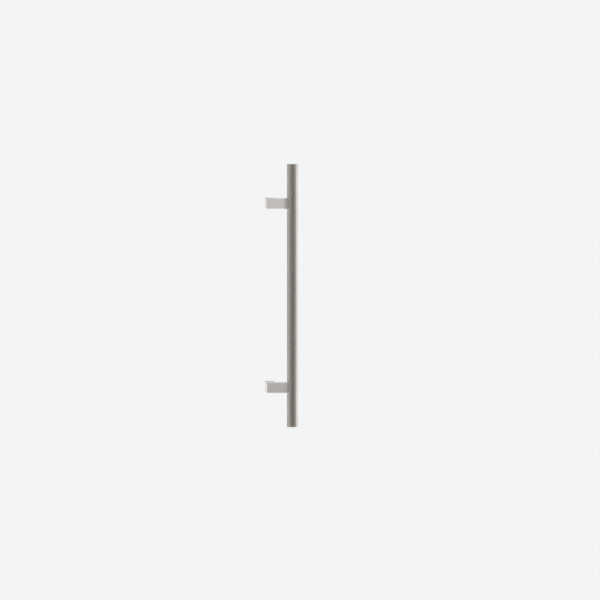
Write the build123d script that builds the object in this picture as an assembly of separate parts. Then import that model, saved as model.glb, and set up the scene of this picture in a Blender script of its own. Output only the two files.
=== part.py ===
from build123d import *
import os

# A straight push bar for a door: a round tube held off the door by two L-shaped supports.
# Millimetres. The door's face is the plane Y = 0 and the bar stands on its -Y side.
# Z runs up along the bar, X points right as the bar is faced, and the origin lies on the
# door's face, midway between the two supports.

# Driving dimensions of the bar
bar_length = 600.0  # over both end caps
bar_diameter = 25.0
tube_wall = 1.5
bar_standoff = 60.0  # door face to bar axis
bar_offset = 48.0  # post axis to bar axis, sideways

# End caps
cap_thickness = 4.0
cap_bevel = 0.5
cap_plug_length = 8.0

# Supports
end_overhang = 90.0  # bar end to the nearer support's axis
support_height = 25.0
post_width = 20.0
arm_thickness = 10.0
corner_round = 3.0  # the support's outer corner, seen from above
corner_fillet = 6.0  # its inner corner
edge_round = 1.5  # the long edges of post and arm

# Joint between arm and tube
spigot_diameter = 8.0
spigot_reach = 6.0  # past the bar axis
spigot_root = 1.0  # into the arm
insert_length = 30.0
access_gap = 0.3  # round a lock screw, in the tube's wall

# Fixing to the door
stud_shank_diameter = 10.0
stud_shank_length = 22.0
stud_thread_diameter = 8.0
stud_thread_length = 30.0
stud_tip_bevel = 0.8
stud_lock_depth = 11.0  # door face to lock screw
bore_end_gap = 1.0  # behind the stud's shank

# Headless lock screws
lock_screw_diameter = 6.0
lock_screw_socket = 3.0  # across the flats
socket_depth = 2.5
lock_recess = 0.6  # screw end below the surface round it
lock_point_diameter = 4.0
lock_point_length = 2.0
spot_depth = 1.2  # drilled in the spigot and the shank for a screw's point

# Fits
fit_gap = 0.05  # radial, wherever one piece sits inside another

# Sizes that follow from these
bar_radius = bar_diameter / 2
tube_bore_radius = bar_radius - tube_wall
tube_length = bar_length - 2 * cap_thickness
insert_radius = tube_bore_radius - fit_gap
spigot_radius = spigot_diameter / 2
shank_radius = stud_shank_diameter / 2
lock_screw_radius = lock_screw_diameter / 2
post_half = post_width / 2
arm_half = arm_thickness / 2
lock_point_radius = lock_point_diameter / 2
support_level = bar_length / 2 - end_overhang
levels = {"upper": support_level, "lower": -support_level}

bar_axis = Vector(bar_offset, -bar_standoff, 0)
right = Vector(1, 0, 0)
to_door = Vector(0, 1, 0)
up = Vector(0, 0, 1)


def rod(radius, start, end):
    """A round rod from one point to another."""
    along = end - start
    seat = Plane(origin=start, z_dir=along)
    return seat * Cylinder(radius, along.length, align=(Align.CENTER, Align.CENTER, Align.MIN))


def turned(outline, origin, axis):
    """A turned piece. The outline gives (radius, distance along the axis) and closes on the axis."""
    half_section = make_face(Polyline(*[(radius, 0, along) for radius, along in outline], close=True))
    return Plane(origin=origin, z_dir=axis) * revolve(half_section, Axis.Z)


def spot(seat, axis, surface_radius):
    """The shallow hole drilled across a round piece, where a lock screw's point sits."""
    bottom = seat + axis * (surface_radius - spot_depth - fit_gap)
    return rod(lock_point_radius + fit_gap, bottom, seat + axis * (surface_radius + fit_gap))


def lock_screw(seat, axis, surface_radius, wall_radius):
    """A headless screw along the axis, from a spot out to just below the surface that it enters by."""
    tip = surface_radius - spot_depth
    length = wall_radius - lock_recess - tip
    outline = [
        (0, 0),
        (lock_point_radius, 0),
        (lock_point_radius, lock_point_length),
        (lock_screw_radius, lock_point_length),
        (lock_screw_radius, length),
        (0, length),
    ]
    screw = turned(outline, seat + axis * tip, axis)
    mouth = Plane(origin=seat + axis * (tip + length), z_dir=axis)
    hexagon = RegularPolygon(lock_screw_socket / 2, 6, major_radius=False)
    return screw - mouth * extrude(hexagon, -socket_depth)


def grip_tube():
    """The tube, with a spigot hole in its side and a lock screw hole in its back at each support."""
    half = up * (tube_length / 2)
    tube = rod(bar_radius, bar_axis - half, bar_axis + half)
    tube -= rod(tube_bore_radius, bar_axis - half, bar_axis + half)
    for level in levels.values():
        centre = bar_axis + up * level
        tube -= rod(spigot_radius + fit_gap, centre - right * bar_diameter, centre)
        tube -= rod(lock_screw_radius + access_gap, centre, centre + to_door * bar_diameter)
    return tube


def end_cap(direction):
    """A turned cap: a bevelled disc with the tube's diameter and a plug inside the tube."""
    outline = [
        (0, -cap_plug_length),
        (insert_radius, -cap_plug_length),
        (insert_radius, 0),
        (bar_radius, 0),
        (bar_radius, cap_thickness - cap_bevel),
        (bar_radius - cap_bevel, cap_thickness),
        (0, cap_thickness),
    ]
    return turned(outline, bar_axis + direction * (tube_length / 2), direction)


def support_blank():
    """The solid L in plan, its corners and long edges rounded, before its ends are machined."""
    front = -bar_standoff - arm_half
    arm_back = -bar_standoff + arm_half
    plan = Polyline(
        (-post_half, 0),
        (-post_half, front),
        (bar_offset, front),
        (bar_offset, arm_back),
        (post_half, arm_back),
        (post_half, 0),
        close=True,
    )
    face = make_face(plan)
    outer = face.vertices().sort_by_distance((-post_half, front))[0]
    face = fillet(outer, corner_round)
    inner = face.vertices().sort_by_distance((post_half, arm_back))[0]
    face = fillet(inner, corner_fillet)
    blank = extrude(face, support_height / 2, both=True)
    long_edges = ShapeList(
        edge
        for edge in blank.edges()
        if abs(edge.center().Z) > support_height / 4
        and abs(edge.center().Y) > edge_round / 2
        and abs(edge.center().X - bar_offset) > edge_round / 2
    )
    return fillet(long_edges, edge_round)


def support(level):
    """A support, coped to the tube, with its spigot, its foot bore and its lock screw hole."""
    centre = bar_axis + up * level
    foot = up * level
    half = up * support_height
    body = Pos(0, 0, level) * support_blank()
    body -= rod(bar_radius + fit_gap, centre - half, centre + half)
    root = centre - right * (bar_radius + spigot_root)
    spigot = rod(spigot_radius, root, centre + right * spigot_reach)
    body += spigot - spot(centre, to_door, spigot_radius)
    bore_depth = stud_shank_length + bore_end_gap
    body -= rod(shank_radius + fit_gap, foot - to_door * bore_depth, foot)
    lock = foot - to_door * stud_lock_depth
    body -= rod(lock_screw_radius + fit_gap, lock, lock + right * post_width)
    return body


def tube_insert(level):
    """The turned plug inside the tube, cross-bored for the spigot and its lock screw."""
    centre = bar_axis + up * level
    half = up * (insert_length / 2)
    plug = rod(insert_radius, centre - half, centre + half)
    bore_end = centre + right * (spigot_reach + fit_gap)
    plug -= rod(spigot_radius + fit_gap, centre - right * bar_radius, bore_end)
    return plug - rod(lock_screw_radius + fit_gap, centre, centre + to_door * bar_radius)


def door_stud(level):
    """A stud with a plain shank for the support's foot and a thread's full diameter for the door."""
    foot = up * level
    thread_radius = stud_thread_diameter / 2
    outline = [
        (0, -stud_shank_length),
        (shank_radius, -stud_shank_length),
        (shank_radius, 0),
        (thread_radius, 0),
        (thread_radius, stud_thread_length - stud_tip_bevel),
        (thread_radius - stud_tip_bevel, stud_thread_length),
        (0, stud_thread_length),
    ]
    stud = turned(outline, foot, to_door)
    return stud - spot(foot - to_door * stud_lock_depth, right, shank_radius)


nodes = {
    "grip_tube": grip_tube(),
    "end_cap_top": end_cap(up),
    "end_cap_bottom": end_cap(-up),
}
for name, level in levels.items():
    joint = bar_axis + up * level
    lock = up * level - to_door * stud_lock_depth
    nodes[f"support_{name}"] = support(level)
    nodes[f"tube_insert_{name}"] = tube_insert(level)
    nodes[f"bar_lock_screw_{name}"] = lock_screw(joint, to_door, spigot_radius, insert_radius)
    nodes[f"door_stud_{name}"] = door_stud(level)
    nodes[f"stud_lock_screw_{name}"] = lock_screw(lock, right, shank_radius, post_half)

os.makedirs("parts", exist_ok=True)
for name, piece in nodes.items():
    export_step(piece, f"parts/{name}.step")
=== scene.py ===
import math

import bmesh
import bpy
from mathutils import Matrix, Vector


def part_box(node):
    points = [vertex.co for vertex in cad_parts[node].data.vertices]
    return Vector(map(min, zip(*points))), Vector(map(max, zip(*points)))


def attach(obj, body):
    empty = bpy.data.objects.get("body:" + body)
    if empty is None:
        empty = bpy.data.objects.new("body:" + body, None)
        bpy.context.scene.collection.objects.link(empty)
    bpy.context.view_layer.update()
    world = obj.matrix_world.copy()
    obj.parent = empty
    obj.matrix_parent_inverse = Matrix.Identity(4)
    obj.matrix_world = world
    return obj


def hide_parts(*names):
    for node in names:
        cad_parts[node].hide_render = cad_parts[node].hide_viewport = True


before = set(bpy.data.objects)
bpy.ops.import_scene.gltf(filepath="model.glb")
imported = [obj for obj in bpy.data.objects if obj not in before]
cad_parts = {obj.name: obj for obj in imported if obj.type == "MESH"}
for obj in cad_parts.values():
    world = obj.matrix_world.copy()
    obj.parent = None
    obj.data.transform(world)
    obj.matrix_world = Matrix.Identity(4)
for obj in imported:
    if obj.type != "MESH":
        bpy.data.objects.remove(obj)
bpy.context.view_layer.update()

# Door push bar, dressed: metres, door face at Y = 0, bar upright on its -Y side

scene = bpy.context.scene
scene.view_settings.view_transform = "Standard"
mm = 0.001
smoothAngle = math.radians(32)
tiny = 0.01 * mm  # slack when points are picked by their place
mergeGap = 0.001 * mm  # points nearer than this are one
squareOn = 0.99  # how far a normal lies along an axis, for a face that is square to it


# Selecting and shaping, as by hand


def deselectAll():
    bpy.ops.object.select_all(action="DESELECT")


def onlySelect(piece):
    deselectAll()
    piece.select_set(True)
    bpy.context.view_layer.objects.active = piece


def named(name):
    piece = bpy.context.object
    piece.name = name
    piece.data.name = name
    return piece


def startEdit(piece, kind):
    onlySelect(piece)
    bpy.ops.object.mode_set(mode="EDIT")
    bpy.ops.mesh.select_mode(type=kind)
    bpy.ops.mesh.select_all(action="DESELECT")
    return bmesh.from_edit_mesh(piece.data)


def pickFaces(piece, wanted):
    form = startEdit(piece, "FACE")
    for face in form.faces:
        if wanted(face.calc_center_median(), face.normal):
            face.select_set(True)
    bmesh.update_edit_mesh(piece.data)


def pickEdges(piece, wanted):
    form = startEdit(piece, "EDGE")
    for edge in form.edges:
        if wanted(edge.verts[0].co, edge.verts[1].co):
            edge.select_set(True)
    bmesh.update_edit_mesh(piece.data)


def pickAll(piece):
    startEdit(piece, "VERT")
    bpy.ops.mesh.select_all(action="SELECT")


def endEdit():
    bpy.ops.object.mode_set(mode="OBJECT")


def extrudeTo(move):
    bpy.ops.mesh.extrude_region_move(TRANSFORM_OT_translate={"value": move})


def roundEdges(piece, wanted, size, steps=1):
    pickEdges(piece, wanted)
    bpy.ops.mesh.bevel(offset=size, segments=steps, affect="EDGES", clamp_overlap=False)
    endEdit()


def settle():
    bpy.ops.object.transform_apply(location=True, rotation=True, scale=True)


def span(start, end):
    start = Vector(start)
    end = Vector(end)
    along = end - start
    return {
        "depth": along.length,
        "location": (start + end) / 2,
        "rotation": along.to_track_quat("Z", "Y").to_euler(),
    }


def addRod(name, radius, start, end, sides, fill="NGON"):
    deselectAll()
    bpy.ops.mesh.primitive_cylinder_add(
        vertices=sides, radius=radius, end_fill_type=fill, **span(start, end)
    )
    settle()
    return named(name)


def addFlare(name, smallRadius, largeRadius, start, end, sides):
    deselectAll()
    bpy.ops.mesh.primitive_cone_add(
        vertices=sides, radius1=smallRadius, radius2=largeRadius, **span(start, end)
    )
    settle()
    return named(name)


def applyModifier(piece, modifier):
    onlySelect(piece)
    bpy.ops.object.modifier_apply(modifier=modifier.name)


def combine(piece, tool, operation):
    knife = piece.modifiers.new("knife", "BOOLEAN")
    knife.operation = operation
    knife.solver = "EXACT"
    knife.object = tool
    applyModifier(piece, knife)
    bpy.data.objects.remove(tool)


def smoothOver(piece):
    pickAll(piece)
    bpy.ops.mesh.remove_doubles(threshold=mergeGap)  # points that cuts leave on top of one another
    endEdit()
    bpy.ops.object.shade_smooth_by_angle(angle=smoothAngle)
    # keeps long faces true beside small bevels
    trueFaces = piece.modifiers.new("trueFaces", "WEIGHTED_NORMAL")
    trueFaces.keep_sharp = True
    trueFaces.weight = 100
    applyModifier(piece, trueFaces)


def copyTo(piece, name, shift=(0, 0, 0), halfTurn=False):
    onlySelect(piece)
    bpy.ops.object.duplicate(linked=False)
    twin = named(name)
    if halfTurn:  # about the X axis, for what faces the other way
        twin.rotation_euler = (math.pi, 0, 0)
    twin.location = shift
    settle()
    return twin


def finishPiece(piece, node, material):
    piece.data.materials.clear()
    piece.data.materials.append(material)
    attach(piece, "root")
    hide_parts(node)


# Places taken from the frame

capLow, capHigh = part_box("end_cap_top")
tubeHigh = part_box("grip_tube")[1]
footLow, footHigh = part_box("support_upper")
barX = (capLow.x + capHigh.x) / 2
barY = (capLow.y + capHigh.y) / 2
tubeEnd = tubeHigh.z
level = (footLow.z + footHigh.z) / 2  # height of the upper support, the lower one lies as far below
levels = (level, -level)


# Steel finishes

noiseSpan = (0.3, 0.7)  # where nearly all of a noise's values lie


def newMaterial(name):
    material = bpy.data.materials.new(name)
    material.use_nodes = True
    tree = material.node_tree
    return material, tree, tree.nodes["Principled BSDF"]


def addNoise(tree, vector, stretch, detail):
    scaled = tree.nodes.new("ShaderNodeMapping")
    scaled.inputs["Scale"].default_value = stretch
    tree.links.new(vector, scaled.inputs["Vector"])
    noise = tree.nodes.new("ShaderNodeTexNoise")
    noise.inputs["Scale"].default_value = 1.0
    noise.inputs["Detail"].default_value = detail
    tree.links.new(scaled.outputs["Vector"], noise.inputs["Vector"])
    return noise.outputs["Fac"]


def addRange(tree, value, low, high):
    spread = tree.nodes.new("ShaderNodeMapRange")
    spread.inputs["From Min"].default_value = noiseSpan[0]
    spread.inputs["From Max"].default_value = noiseSpan[1]
    spread.inputs["To Min"].default_value = low
    spread.inputs["To Max"].default_value = high
    tree.links.new(value, spread.inputs["Value"])
    return spread.outputs["Result"]


def addTint(tree, value, dark, light):
    tint = tree.nodes.new("ShaderNodeValToRGB")
    tint.color_ramp.elements[0].position = noiseSpan[0]
    tint.color_ramp.elements[0].color = (*dark, 1)
    tint.color_ramp.elements[1].position = noiseSpan[1]
    tint.color_ramp.elements[1].color = (*light, 1)
    tree.links.new(value, tint.inputs["Fac"])
    return tint.outputs["Color"]


def addMix(tree, kind, amount, first, second):
    mix = tree.nodes.new("ShaderNodeMix")
    mix.data_type = kind
    ends = [socket for socket in mix.inputs if socket.enabled and socket.name in "AB"]
    tree.links.new(amount, mix.inputs["Factor"])
    tree.links.new(first, ends[0])
    ends[1].default_value = second
    return next(socket for socket in mix.outputs if socket.enabled)


def addWearAndPaintedLight(tree, colour, roughness, wearAndPaintedLight):
    # edges rubbed bright, partly wear and partly a painted highlight, and a painted shade patch on
    # the arm, darker towards the joint with the tube
    rubbedAndHighlit = tree.nodes.new("ShaderNodeAttribute")
    rubbedAndHighlit.attribute_name = wearAndPaintedLight["rubAndHighlightName"]
    colour = addMix(tree, "RGBA", rubbedAndHighlit.outputs["Fac"], colour, (*wearAndPaintedLight["edgeRubAndHighlightColour"], 1))
    roughness = addMix(tree, "FLOAT", rubbedAndHighlit.outputs["Fac"], roughness, wearAndPaintedLight["edgeRoughness"])
    place = tree.nodes.new("ShaderNodeTexCoord")
    split = tree.nodes.new("ShaderNodeSeparateXYZ")
    tree.links.new(place.outputs["Object"], split.inputs["Vector"])
    # painted shade on the arm, darker towards the joint with the tube
    near = tree.nodes.new("ShaderNodeMapRange")
    near.inputs["From Min"].default_value = wearAndPaintedLight["shadeFrom"]
    near.inputs["From Max"].default_value = wearAndPaintedLight["shadeTo"]
    tree.links.new(split.outputs["X"], near.inputs["Value"])
    shadeRamp = tree.nodes.new("ShaderNodeValToRGB")
    shadeRamp.color_ramp.interpolation = "EASE"
    for share, amount in wearAndPaintedLight["shadeStops"]:
        stop = shadeRamp.color_ramp.elements.new(share)
        stop.color = (amount, amount, amount, 1)
    shadeRamp.color_ramp.elements[-1].color = (0, 0, 0, 1)  # both ends of the ramp stay clear
    tree.links.new(near.outputs["Result"], shadeRamp.inputs["Fac"])
    held = tree.nodes.new("ShaderNodeAttribute")
    held.attribute_name = wearAndPaintedLight["paintedShadeName"]
    amount = tree.nodes.new("ShaderNodeMath")
    amount.operation = "MULTIPLY"
    tree.links.new(shadeRamp.outputs["Color"], amount.inputs[0])
    tree.links.new(held.outputs["Fac"], amount.inputs[1])
    colour = addMix(tree, "RGBA", amount.outputs["Value"], colour, (*wearAndPaintedLight["shadeColour"], 1))
    return colour, roughness


def addRings(tree, place, axis):
    # distance from an upright axis, and height, for the rings of a turned piece
    shift = tree.nodes.new("ShaderNodeVectorMath")
    shift.operation = "SUBTRACT"
    shift.inputs[1].default_value = axis
    tree.links.new(place, shift.inputs[0])
    split = tree.nodes.new("ShaderNodeSeparateXYZ")
    tree.links.new(shift.outputs["Vector"], split.inputs["Vector"])
    flattened = tree.nodes.new("ShaderNodeVectorMath")
    flattened.operation = "MULTIPLY"
    flattened.inputs[1].default_value = (1, 1, 0)
    tree.links.new(shift.outputs["Vector"], flattened.inputs[0])
    reach = tree.nodes.new("ShaderNodeVectorMath")
    reach.operation = "LENGTH"
    tree.links.new(flattened.outputs["Vector"], reach.inputs[0])
    ring = tree.nodes.new("ShaderNodeCombineXYZ")
    tree.links.new(reach.outputs["Value"], ring.inputs["X"])
    tree.links.new(split.outputs["Z"], ring.inputs["Y"])
    return ring.outputs["Vector"]


def brushedSteel(name, look):
    material, tree, steel = newMaterial(name)
    if look["grainMap"]:
        source = tree.nodes.new("ShaderNodeUVMap")
        source.uv_map = look["grainMap"]
        place = source.outputs["UV"]
    else:
        source = tree.nodes.new("ShaderNodeTexCoord")
        place = source.outputs["Object"]
    if look["ringAxis"]:
        place = addRings(tree, place, look["ringAxis"])
    hair = addNoise(tree, place, look["hairStretch"], look["hairDetail"])  # the belt's fine scratches
    band = addNoise(tree, place, look["bandStretch"], look["bandDetail"])  # its wider, fainter passes
    colour = addTint(tree, band, look["dark"], look["light"])
    roughness = addRange(tree, hair, *look["roughness"])
    if look["wearAndPaintedLight"]:
        colour, roughness = addWearAndPaintedLight(tree, colour, roughness, look["wearAndPaintedLight"])
    steel.inputs["Metallic"].default_value = 1.0
    steel.inputs["Anisotropic"].default_value = look["grainStretch"]
    steel.inputs["Anisotropic Rotation"].default_value = look["grainTurn"]
    tree.links.new(colour, steel.inputs["Base Color"])
    tree.links.new(roughness, steel.inputs["Roughness"])
    tangent = tree.nodes.new("ShaderNodeTangent")
    if look["grainMap"]:
        tangent.direction_type = "UV_MAP"
        tangent.uv_map = look["grainMap"]
    else:
        tangent.direction_type = "RADIAL"
        tangent.axis = look["axis"]
    tree.links.new(tangent.outputs["Tangent"], steel.inputs["Tangent"])
    bump = tree.nodes.new("ShaderNodeBump")
    bump.inputs["Strength"].default_value = look["bump"]
    bump.inputs["Distance"].default_value = look["scratchDepth"]
    tree.links.new(hair, bump.inputs["Height"])
    tree.links.new(bump.outputs["Normal"], steel.inputs["Normal"])
    return material


barLook = {
    "grainMap": None,
    "axis": "Z",
    "ringAxis": None,
    "wearAndPaintedLight": None,
    "hairStretch": (6500, 6500, 18),  # per metre: scratches 0.15 mm wide, 55 mm long
    "bandStretch": (420, 420, 5),
    "hairDetail": 4.0,
    "bandDetail": 3.0,
    "dark": (0.545, 0.5, 0.458),
    "light": (0.63, 0.58, 0.537),
    "roughness": (0.2, 0.32),
    "grainStretch": 0.75,  # how far the grain draws out a reflection, across itself
    "grainTurn": 0.0,  # of a whole turn
    "bump": 0.5,
    "scratchDepth": 0.004 * mm,
}
barSteel = brushedSteel("brushedBar", barLook)

capLook = dict(barLook)
capLook["grainTurn"] = 0.25  # turned face, so its grain runs in rings
capLook["ringAxis"] = (barX, barY, 0)
capLook["hairStretch"] = (5000, 5000, 1)
capLook["bandStretch"] = (700, 700, 1)
capLook["roughness"] = (0.32, 0.42)
capSteel = brushedSteel("turnedCap", capLook)

supportLook = dict(barLook)
supportLook["grainMap"] = "grain"
supportLook["hairStretch"] = (6500, 22, 1)  # U runs across the grain and V along it
supportLook["bandStretch"] = (420, 7, 1)
supportLook["dark"] = (0.61, 0.588, 0.552)
supportLook["light"] = (0.667, 0.643, 0.606)
supportLook["roughness"] = (0.34, 0.44)
supportLook["grainStretch"] = 0.7
supportLook["wearAndPaintedLight"] = {
    "rubAndHighlightName": "rubbedAndHighlit",  # attribute on the mesh, 1 along the rounded edges: rubbed wear and painted highlight
    # bright edge colour, partly rubbed steel and partly a painted highlight
    "edgeRubAndHighlightColour": (0.85, 0.84, 0.82),
    "edgeRoughness": 0.36,
    "topRubAndHighlightShare": 0.1,  # the upper edges get less of the rub and of its painted highlight
    # painted shade on the arm by the tube joint, more on the upper arm than the lower
    "shadeFrom": 22 * mm,  # along X, towards the tube
    "shadeTo": 37 * mm,
    "shadeStops": ((0.25, 0), (0.76, 1), (0.86, 1), (0.95, 0.3)),
    "paintedShadeName": "paintedShade",  # attribute on the mesh, how much of the painted shade an arm has
    "shadeAmounts": {"Upper": 0.68, "Lower": 0.22},
    "shadeColour": (0.27, 0.262, 0.25),
}
supportSteel = brushedSteel("brushedSupport", supportLook)

fixingSteels = {}
for axis in "XYZ":
    look = dict(barLook)
    look["axis"] = axis
    look["grainTurn"] = 0.25
    look["hairStretch"] = (2500, 2500, 2500)
    look["bandStretch"] = (300, 300, 300)
    look["dark"] = (0.46, 0.45, 0.43)
    look["light"] = (0.53, 0.52, 0.5)
    look["grainStretch"] = 0.3
    look["roughness"] = (0.26, 0.31)
    look["bump"] = 0.08
    fixingSteels[axis] = brushedSteel("turnedFixing" + axis, look)
print("finishes made")


# Tube

tubeShape = {
    "radius": 12.5 * mm,
    "wall": 1.5 * mm,
    "sides": 192,
    "rimBevel": 0.2 * mm,
    "patch": 13 * mm,  # half height of the stretch that holds a support's holes
    "spigotHole": 4.05 * mm,
    "screwHole": 3.3 * mm,
    "countersink": 0.4 * mm,
    "holeSides": 64,
    "sinkSides": 90,  # corners clear of the hole's, for a clean cut
}


def makeTube(shape):
    bottom = (barX, barY, -tubeEnd)
    top = (barX, barY, tubeEnd)
    tube = addRod("gripTube", shape["radius"], bottom, top, shape["sides"], "NOTHING")
    for height in levels:
        for side in (-1, 1):
            pickAll(tube)
            cut = (barX, barY, height + side * shape["patch"])
            bpy.ops.mesh.bisect(plane_co=cut, plane_no=(0, 0, 1))
            endEdit()
    wall = tube.modifiers.new("wall", "SOLIDIFY")
    wall.thickness = shape["wall"]
    wall.offset = -1.0
    wall.use_even_offset = True
    applyModifier(tube, wall)
    roundEdges(
        tube,
        lambda a, b: min(abs(a.z), abs(b.z)) > tubeEnd - tiny
        and min(math.hypot(p.x - barX, p.y - barY) for p in (a, b)) > shape["radius"] - tiny,
        shape["rimBevel"],
        steps=2,
    )
    reach = 2 * shape["radius"]
    sink = shape["countersink"]
    for height in levels:
        middle = Vector((barX, barY, height))
        left = middle - Vector((reach, 0, 0))
        side = addRod("knife", shape["spigotHole"], middle, left, shape["holeSides"])
        combine(tube, side, "DIFFERENCE")
        behind = middle + Vector((0, reach, 0))
        back = addRod("knife", shape["screwHole"], middle, behind, shape["holeSides"])
        combine(tube, back, "DIFFERENCE")
        mouth = middle + Vector((0, shape["radius"], 0))
        flare = addFlare(
            "knife",
            shape["screwHole"] - sink,
            shape["screwHole"] + 2 * sink,
            mouth - Vector((0, 2 * sink, 0)),
            mouth + Vector((0, sink, 0)),
            shape["sinkSides"],
        )
        combine(tube, flare, "DIFFERENCE")
    smoothOver(tube)
    return tube


gripTube = makeTube(tubeShape)
finishPiece(gripTube, "grip_tube", barSteel)
print("tube made")


# End caps

capShape = {
    "thickness": 4 * mm,
    "bevel": 0.5 * mm,
    "softening": 0.12 * mm,
    "seamBevel": 0.15 * mm,
    "plugRadius": 10.95 * mm,
    "plugLength": 8 * mm,
    "rimTilt": 0.3,  # faces steeper than this belong to the rim
}


def makeCap(shape, name):
    radius = tubeShape["radius"]
    top = tubeEnd + shape["thickness"]
    cap = addRod(name, radius, (barX, barY, tubeEnd), (barX, barY, top), tubeShape["sides"])
    roundEdges(cap, lambda a, b: min(a.z, b.z) > top - tiny, shape["bevel"])
    shoulder = top - shape["bevel"]
    roundEdges(
        cap,
        lambda a, b: abs(a.z - b.z) < tiny and min(abs(a.z - top), abs(a.z - shoulder)) < tiny,
        shape["softening"],
        steps=3,
    )
    roundEdges(cap, lambda a, b: max(a.z, b.z) < tubeEnd + tiny, shape["seamBevel"], steps=2)
    pickFaces(cap, lambda centre, normal: normal.z < -squareOn)
    bpy.ops.mesh.inset(thickness=radius - shape["seamBevel"] - shape["plugRadius"])
    extrudeTo((0, 0, -shape["plugLength"]))
    endEdit()
    smoothOver(cap)
    return cap


capTop = makeCap(capShape, "endCapTop")
capBottom = copyTo(capTop, "endCapBottom", shift=(0, 2 * barY, 0), halfTurn=True)
for cap, node in ((capTop, "end_cap_top"), (capBottom, "end_cap_bottom")):
    finishPiece(cap, node, capSteel)
    cap.data.materials.append(barSteel)
    for face in cap.data.polygons:
        upright = abs(face.normal.z) < capShape["rimTilt"]
        face.material_index = 1 if upright else 0  # the rim is brushed along with the tube
print("end caps made")


# Supports

supportShape = {
    "height": 25 * mm,
    "postWidth": 20 * mm,
    "armThickness": 10 * mm,
    "cornerRound": 3 * mm,
    "cornerFillet": 6 * mm,
    "edgeRound": 1.5 * mm,
    "footBevel": 0.3 * mm,
    "saddleRadius": 12.55 * mm,
    "saddleBevel": 0.15 * mm,  # filed off where the arm meets the tube
    "spigotRadius": 4 * mm,
    "spigotRoot": 13.5 * mm,  # from the bar's axis, back into the arm
    "spigotEnd": 6 * mm,
    "spotRadius": 2.05 * mm,
    "spotDepth": 1.25 * mm,
    "boreRadius": 5.05 * mm,
    "boreDepth": 23 * mm,
    "lockRadius": 3.05 * mm,
    "lockDepth": 11 * mm,
    "lockBevel": 0.35 * mm,
    "sides": 64,
    "saddleSides": 192,
}


def grainMap(piece):
    # U across the belt's grain and V along it: along X on the arm, along Y down the post
    layer = piece.data.uv_layers.new(name="grain")
    half = supportShape["postWidth"] / 2
    for face in piece.data.polygons:
        flat = max(range(3), key=lambda i: abs(face.normal[i]))
        for loop in face.loop_indices:
            place = piece.data.vertices[piece.data.loops[loop].vertex_index].co
            if flat == 2:  # top and bottom
                alongArm = face.center.x > half
                layer.data[loop].uv = (place.y, place.x) if alongArm else (place.x, place.y)
            elif flat == 1:  # front and back
                layer.data[loop].uv = (place.z, place.x)
            else:
                layer.data[loop].uv = (place.z, place.y)


def rubAndHighlightEdges(piece):
    # 1 along the middle of each rounded long edge, 0 on the flats, less on the upper edges: partly
    # wear, partly a painted highlight
    wearAndPaintedLight = piece.data.attributes.new(supportLook["wearAndPaintedLight"]["rubAndHighlightName"], "FLOAT", "POINT")
    edge = supportShape["edgeRound"]
    flat = supportShape["height"] / 2 - edge
    for vertex in piece.data.vertices:
        rise = (abs(vertex.co.z - level) - flat) / edge
        share = 1 if vertex.co.z < level else supportLook["wearAndPaintedLight"]["topRubAndHighlightShare"]
        wearAndPaintedLight.data[vertex.index].value = share * math.sin(2 * math.asin(min(max(rise, 0), 1)))


def paintArmShade(piece, amount):
    # how much painted shade by the joint this arm carries
    paintedShade = piece.data.attributes.new(supportLook["wearAndPaintedLight"]["paintedShadeName"], "FLOAT", "POINT")
    for point in paintedShade.data:
        point.value = amount


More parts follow.
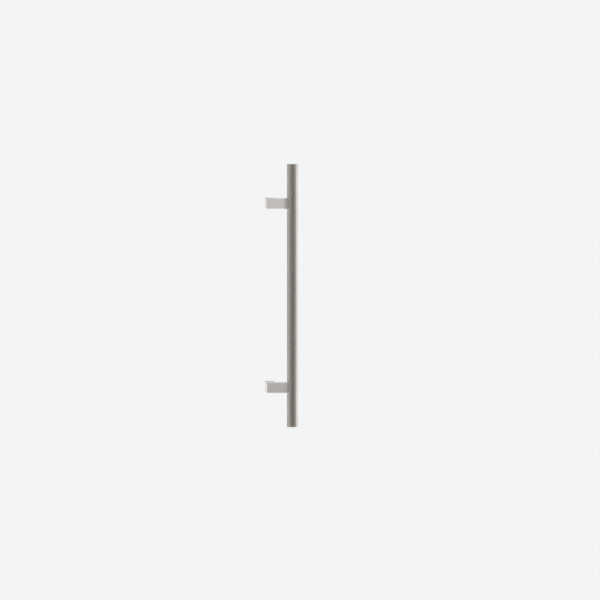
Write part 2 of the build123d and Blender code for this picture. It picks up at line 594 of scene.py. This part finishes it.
def makeSupport(shape, name):
    half = shape["height"] / 2
    post = shape["postWidth"] / 2
    front = barY - shape["armThickness"] / 2
    back = barY + shape["armThickness"] / 2
    deselectAll()
    bpy.ops.mesh.primitive_cube_add(
        size=1.0, location=(0, front / 2, level), scale=(shape["postWidth"], -front, shape["height"])
    )
    settle()
    support = named(name)
    # arm pulled out of the post's front
    pickAll(support)
    bpy.ops.mesh.bisect(plane_co=(0, back, 0), plane_no=(0, 1, 0))
    endEdit()
    pickFaces(support, lambda centre, normal: normal.x > squareOn and centre.y < back)
    extrudeTo((barX - post, 0, 0))
    endEdit()
    pickAll(support)
    bpy.ops.mesh.dissolve_limited(angle_limit=math.radians(1))
    endEdit()
    roundEdges(
        support,
        lambda a, b: max(abs(p.x + post) + abs(p.y - front) for p in (a, b)) < tiny,
        shape["cornerRound"],
        steps=8,
    )
    roundEdges(
        support,
        lambda a, b: max(abs(p.x - post) + abs(p.y - back) for p in (a, b)) < tiny,
        shape["cornerFillet"],
        steps=10,
    )
    roundEdges(
        support,
        lambda a, b: abs(a.z - b.z) < tiny and abs(a.z - level) > half - tiny
        and min(a.y, b.y) < -tiny and min(a.x, b.x) < barX - tiny,
        shape["edgeRound"],
        steps=6,
    )
    roundEdges(support, lambda a, b: min(a.y, b.y) > -tiny, shape["footBevel"], steps=2)
    # coped to the tube, with the spigot that enters it
    axis = Vector((barX, barY, level))
    up = Vector((0, 0, shape["height"]))
    saddle = addRod("knife", shape["saddleRadius"], axis - up, axis + up, shape["saddleSides"])
    combine(support, saddle, "DIFFERENCE")

    def onSaddle(point):
        away = math.hypot(point.x - barX, point.y - barY)
        return abs(away - shape["saddleRadius"]) < tiny

    roundEdges(
        support,
        lambda a, b: onSaddle(a) and onSaddle(b)
        and (abs(a.y - b.y) > tiny or min(abs(a.y - front), abs(a.y - back)) < tiny),
        shape["saddleBevel"],
    )
    right = Vector((1, 0, 0))
    door = Vector((0, 1, 0))
    spigot = addRod(
        "spigot",
        shape["spigotRadius"],
        axis - right * shape["spigotRoot"],
        axis + right * shape["spigotEnd"],
        shape["sides"],
    )
    spotBottom = axis + door * (shape["spigotRadius"] - shape["spotDepth"])
    spotTop = spotBottom + door * shape["spigotRadius"]
    spot = addRod("knife", shape["spotRadius"], spotBottom, spotTop, shape["sides"])
    combine(spigot, spot, "DIFFERENCE")
    combine(support, spigot, "UNION")
    # foot bore for the stud, and its lock screw's hole in the inner side
    foot = Vector((0, 0, level))
    boreEnd = foot - door * shape["boreDepth"]
    bore = addRod("knife", shape["boreRadius"], boreEnd, foot + door * post, shape["sides"])
    combine(support, bore, "DIFFERENCE")
    lock = foot - door * shape["lockDepth"]
    hole = addRod("knife", shape["lockRadius"], lock, lock + right * 2 * post, shape["sides"])
    combine(support, hole, "DIFFERENCE")
    sink = shape["lockBevel"]
    flare = addFlare(
        "knife",
        shape["lockRadius"] - sink,
        shape["lockRadius"] + 2 * sink,
        lock + right * (post - 2 * sink),
        lock + right * (post + sink),
        shape["sides"],
    )
    combine(support, flare, "DIFFERENCE")
    smoothOver(support)
    grainMap(support)
    rubAndHighlightEdges(support)
    return support


supportUpper = makeSupport(supportShape, "supportUpper")
supportLower = copyTo(supportUpper, "supportLower", shift=(0, 0, -2 * level))
# painted shade by the joint, heavier on the upper arm
paintArmShade(supportUpper, supportLook["wearAndPaintedLight"]["shadeAmounts"]["Upper"])
paintArmShade(supportLower, supportLook["wearAndPaintedLight"]["shadeAmounts"]["Lower"])
finishPiece(supportUpper, "support_upper", supportSteel)
finishPiece(supportLower, "support_lower", supportSteel)
print("supports made")


# Threaded fixings

threadShape = {
    "depth": 0.6134,  # of the pitch, for a metric thread
    "flankRun": 0.354,  # of the pitch, along the axis
    "crestFlat": 0.125,
    "stepsPerTurn": 48,
    "leadIn": 2.01,  # turns wound before the start, off any whole turn so that the cut is clean
    "spareTurns": 4,
    "cutGap": 0.0001 * mm,
    "blankSlack": 1.005,  # of the radius
}


def makeThread(name, radius, pitch, length, tipBevel):
    # one pitch of the profile, drawn as a line of points and wound along +Z
    shape = threadShape
    depth = shape["depth"] * pitch
    flank = shape["flankRun"] * pitch
    crest = shape["crestFlat"] * pitch
    root = pitch - 2 * flank - crest
    deselectAll()
    start = (radius - depth, 0, -shape["leadIn"] * pitch)
    bpy.ops.mesh.primitive_plane_add(size=depth, location=start)
    settle()
    thread = named(name)
    pickAll(thread)
    bpy.ops.mesh.merge(type="CENTER")
    for move in ((0, 0, root), (depth, 0, flank), (0, 0, crest), (-depth, 0, flank)):
        extrudeTo(move)
    endEdit()
    winding = thread.modifiers.new("winding", "SCREW")
    winding.axis = "Z"
    winding.angle = math.tau
    winding.steps = shape["stepsPerTurn"]
    winding.render_steps = shape["stepsPerTurn"]
    winding.screw_offset = pitch
    winding.iterations = math.ceil(length / pitch) + shape["spareTurns"]
    winding.use_merge_vertices = True
    winding.merge_threshold = mergeGap
    applyModifier(thread, winding)
    for height, inner in ((0, True), (length + pitch, False)):
        pickAll(thread)
        bpy.ops.mesh.remove_doubles(threshold=mergeGap)
        bpy.ops.mesh.bisect(
            plane_co=(0, 0, height),
            plane_no=(0, 0, 1),
            use_fill=True,
            clear_inner=inner,
            clear_outer=not inner,
            threshold=shape["cutGap"],
        )
        endEdit()
    pickAll(thread)
    bpy.ops.mesh.normals_make_consistent(inside=False)
    endEdit()
    # the tip is turned to a bevel before the thread is cut
    blankRadius = radius * shape["blankSlack"]
    blank = addRod("knife", blankRadius, (0, 0, -pitch), (0, 0, length), 2 * shape["stepsPerTurn"])
    roundEdges(blank, lambda a, b: min(a.z, b.z) > length - tiny, tipBevel)
    combine(thread, blank, "INTERSECT")
    return thread


def turnTo(piece, place, direction):
    onlySelect(piece)
    piece.location = place
    piece.rotation_euler = Vector(direction).to_track_quat("Z", "Y").to_euler()
    settle()


studShape = {
    "threadRadius": 4 * mm,
    "pitch": 1.25 * mm,
    "threadLength": 30 * mm,
    "tipBevel": 0.8 * mm,
    "shankRadius": 5 * mm,
    "shankLength": 22 * mm,
    "shankBevel": 0.4 * mm,
    "spotRadius": 2.05 * mm,
    "spotDepth": 1.25 * mm,
    "lockDepth": 11 * mm,
    "rootOverlap": 0.001 * mm,  # a hair into the thread, so that the two join
    "sides": 96,
}


def makeStud(shape, name):
    radius = shape["threadRadius"]
    stud = makeThread(name, radius, shape["pitch"], shape["threadLength"], shape["tipBevel"])
    turnTo(stud, (0, 0, level), (0, 1, 0))
    foot = Vector((0, 0, level))
    door = Vector((0, 1, 0))
    right = Vector((1, 0, 0))
    shankEnd = foot - door * shape["shankLength"]
    root = foot + door * shape["rootOverlap"]
    shank = addRod("shank", shape["shankRadius"], shankEnd, root, shape["sides"])
    roundEdges(shank, lambda a, b: abs(a.y - b.y) < tiny and a.y < -tiny, shape["shankBevel"])
    lock = foot - door * shape["lockDepth"] + right * (shape["shankRadius"] - shape["spotDepth"])
    lockEnd = lock + right * shape["shankRadius"]
    spot = addRod("knife", shape["spotRadius"], lock, lockEnd, shape["sides"])
    combine(shank, spot, "DIFFERENCE")
    combine(stud, shank, "UNION")
    smoothOver(stud)
    return stud


studUpper = makeStud(studShape, "doorStudUpper")
studLower = copyTo(studUpper, "doorStudLower", shift=(0, 0, -2 * level))
finishPiece(studUpper, "door_stud_upper", fixingSteels["Y"])
finishPiece(studLower, "door_stud_lower", fixingSteels["Y"])
print("studs made")


screwShape = {
    "radius": 3 * mm,
    "pitch": 1 * mm,
    "pointRadius": 2 * mm,
    "pointLength": 2 * mm,
    "endBevel": 0.8 * mm,
    "socketAcross": 3 * mm,
    "socketDepth": 2.5 * mm,
    "noseOverlap": 0.2 * mm,  # into the thread
    "sides": 64,
}


def makeLockScrew(shape, name, tip, direction, length):
    point = shape["pointLength"]
    screw = makeThread(name, shape["radius"], shape["pitch"], length - point, shape["endBevel"])
    noseEnd = (0, 0, shape["noseOverlap"])
    nose = addRod("nose", shape["pointRadius"], (0, 0, -point), noseEnd, shape["sides"])
    combine(screw, nose, "UNION")
    mouth = length - point
    corner = shape["socketAcross"] / 2 / math.cos(math.pi / 6)
    key = addRod("knife", corner, (0, 0, mouth - shape["socketDepth"]), (0, 0, mouth + point), 6)
    combine(screw, key, "DIFFERENCE")
    turnTo(screw, Vector(tip) + Vector(direction) * point, direction)
    smoothOver(screw)
    return screw


for kind, direction in (("bar", Vector((0, 1, 0))), ("stud", Vector((1, 0, 0)))):
    low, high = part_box(kind + "_lock_screw_upper")
    length = (high - low).dot(direction)
    tip = (low + high) / 2 - direction * length / 2
    upper = makeLockScrew(screwShape, kind + "LockScrewUpper", tip, direction, length)
    lower = copyTo(upper, kind + "LockScrewLower", shift=(0, 0, -2 * level))
    finish = fixingSteels["Y" if kind == "bar" else "X"]
    finishPiece(upper, kind + "_lock_screw_upper", finish)
    finishPiece(lower, kind + "_lock_screw_lower", finish)
print("lock screws made")

# The inserts stay as they are, inside the tube
for node in ("tube_insert_upper", "tube_insert_lower"):
    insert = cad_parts[node]
    insert.data.materials.clear()
    insert.data.materials.append(fixingSteels["Z"])


# Studio

studio = {
    "pale": (0.9, 0.905, 0.91),
    "floorDrop": 2.4,  # below the bar's middle
    "floorSize": 240,
    "floorPaint": (0.9, 0.9, 0.9),
    "floorGlow": 0.1,  # makes up what the paint takes from the sky's tone
    "screenSides": 96,
    "screenFade": (0.2, 0.72),  # of a screen's radius, out from its middle
}

# dark cloth round the set, seen only in the steel: metres, and degrees from the front
screens = {
    "frontScreen": {
        "radius": 14,
        "low": -2.6,
        "high": 2.6,
        "middle": -7,
        "halfAngle": 79,
        "tone": 0.21,
        "sideTone": 0.455,
    },
    "leftScreen": {
        "radius": 14,
        "low": -2.6,
        "high": 2.6,
        "middle": -138,
        "halfAngle": 27,
        "tone": 0.44,
        "sideTone": 0.44,
    },
    "backScreen": {
        "radius": 14,
        "low": 0.1,
        "high": 5,
        "middle": 180,
        "halfAngle": 50,
        "tone": 0.3,
        "sideTone": 0.53,
    },
    "lowFrontScreen": {
        "radius": 5,
        "low": -2.4,
        "high": -0.95,
        "middle": 0,
        "halfAngle": 60,
        "tone": 0.26,
        "sideTone": 0.53,
    },
    "lowBackScreen": {
        "radius": 5,
        "low": -2.4,
        "high": -0.75,
        "middle": 180,
        "halfAngle": 45,
        "tone": 0.1,
        "sideTone": 0.4,
    },
}


def makeStudio(settings):
    world = bpy.data.worlds.new("paleStudio")
    scene.world = world
    world.use_nodes = True
    world.node_tree.nodes["Background"].inputs["Color"].default_value = (*settings["pale"], 1)
    world.node_tree.nodes["Background"].inputs["Strength"].default_value = 1.0

    deselectAll()
    ground = (0, 0, -settings["floorDrop"])
    bpy.ops.mesh.primitive_plane_add(size=settings["floorSize"], location=ground)
    floor = named("floor")
    material, _, paint = newMaterial("paleFloor")
    paint.inputs["Base Color"].default_value = (*settings["floorPaint"], 1)
    paint.inputs["Roughness"].default_value = 1.0
    paint.inputs["Specular IOR Level"].default_value = 0.0
    paint.inputs["Emission Color"].default_value = (*settings["pale"], 1)
    paint.inputs["Emission Strength"].default_value = settings["floorGlow"]
    floor.data.materials.append(material)


def addScreen(name, shape):
    deselectAll()
    bpy.ops.mesh.primitive_cylinder_add(
        vertices=studio["screenSides"],
        radius=shape["radius"],
        depth=shape["high"] - shape["low"],
        end_fill_type="NOTHING",
        location=(barX, barY, (shape["high"] + shape["low"]) / 2),
    )
    screen = named(name)
    middle = math.radians(shape["middle"])
    facing = Vector((math.sin(middle), -math.cos(middle), 0))
    limit = math.cos(math.radians(shape["halfAngle"]))
    pickFaces(screen, lambda centre, normal: normal.normalized().dot(facing) < limit)
    bpy.ops.mesh.delete(type="FACE")
    endEdit()
    material, tree, cloth = newMaterial(name + "Cloth")
    cloth.inputs["Roughness"].default_value = 1.0
    # lighter towards its two sides, so that its edges don't show in the tube
    place = tree.nodes.new("ShaderNodeTexCoord")
    split = tree.nodes.new("ShaderNodeSeparateXYZ")
    tree.links.new(place.outputs["Object"], split.inputs["Vector"])
    aside = tree.nodes.new("ShaderNodeMath")
    aside.operation = "ABSOLUTE"
    tree.links.new(split.outputs["X"], aside.inputs[0])
    fade = tree.nodes.new("ShaderNodeMapRange")
    fade.inputs["From Min"].default_value = shape["radius"] * studio["screenFade"][0]
    fade.inputs["From Max"].default_value = shape["radius"] * studio["screenFade"][1]
    fade.inputs["To Min"].default_value = shape["tone"]
    fade.inputs["To Max"].default_value = shape["sideTone"]
    tree.links.new(aside.outputs["Value"], fade.inputs["Value"])
    tree.links.new(fade.outputs["Result"], cloth.inputs["Base Color"])
    screen.data.materials.append(material)
    screen.visible_camera = False
    screen.visible_diffuse = False
    screen.visible_shadow = False


makeStudio(studio)
for name, shape in screens.items():
    addScreen(name, shape)


softboxes = {
    "topSoftbox": {
        "place": (0.1, -2.2, 1.22),
        "size": (1.83, 0.73),
        "brightness": 2.4,  # 1 shows as white
        "tint": (1, 1, 1),
    },
    "rightSoftbox": {
        "place": (3.7, 1.2, 0.4),
        "size": (2.4, 3.0),
        "brightness": 0.62,
        "tint": (0.93, 0.98, 1),
    },
    "leftSoftbox": {
        "place": (-1.6, 4.2, -0.5),
        "size": (2.0, 2.6),
        "brightness": 0.8,
        "tint": (1, 1, 1),
    },
}


def addSoftbox(name, shape):
    width, height = shape["size"]
    lamp = bpy.data.lights.new(name, "AREA")
    lamp.shape = "RECTANGLE"
    lamp.size = width
    lamp.size_y = height
    lamp.color = shape["tint"]
    lamp.energy = shape["brightness"] * math.pi * width * height
    box = bpy.data.objects.new(name, lamp)
    scene.collection.objects.link(box)
    box.location = shape["place"]
    toBar = Vector((barX, barY, 0)) - Vector(shape["place"])
    box.rotation_euler = toBar.to_track_quat("-Z", "Y").to_euler()
    box.visible_camera = False


for name, shape in softboxes.items():
    addSoftbox(name, shape)
print("studio lit")


# Camera

photo = {
    "size": 600,  # pixels, both ways
    "barMiddle": (292.4, 295.5),  # where the bar's middle is in the picture
    "barLength": 263.1,  # pixels
    "cameraPlace": (-0.96, -12.0, 0.4),
    "sensor": 36.0,
    "clipEnd": 500,
}


def makeCamera(shot):
    camera = bpy.data.objects.new("camera", bpy.data.cameras.new("camera"))
    scene.collection.objects.link(camera)
    barLength = 2 * capHigh.z
    perPixel = barLength / shot["barLength"]
    middle = shot["size"] / 2
    aim = Vector(
        (
            barX + (middle - shot["barMiddle"][0]) * perPixel,
            barY,
            (shot["barMiddle"][1] - middle) * perPixel,
        )
    )
    camera.location = shot["cameraPlace"]
    gaze = aim - camera.location
    camera.rotation_euler = gaze.to_track_quat("-Z", "Y").to_euler()
    camera.data.sensor_width = shot["sensor"]
    camera.data.lens = gaze.length / perPixel * shot["sensor"] / shot["size"]
    camera.data.clip_end = shot["clipEnd"]
    scene.camera = camera


makeCamera(photo)

print("camera set")
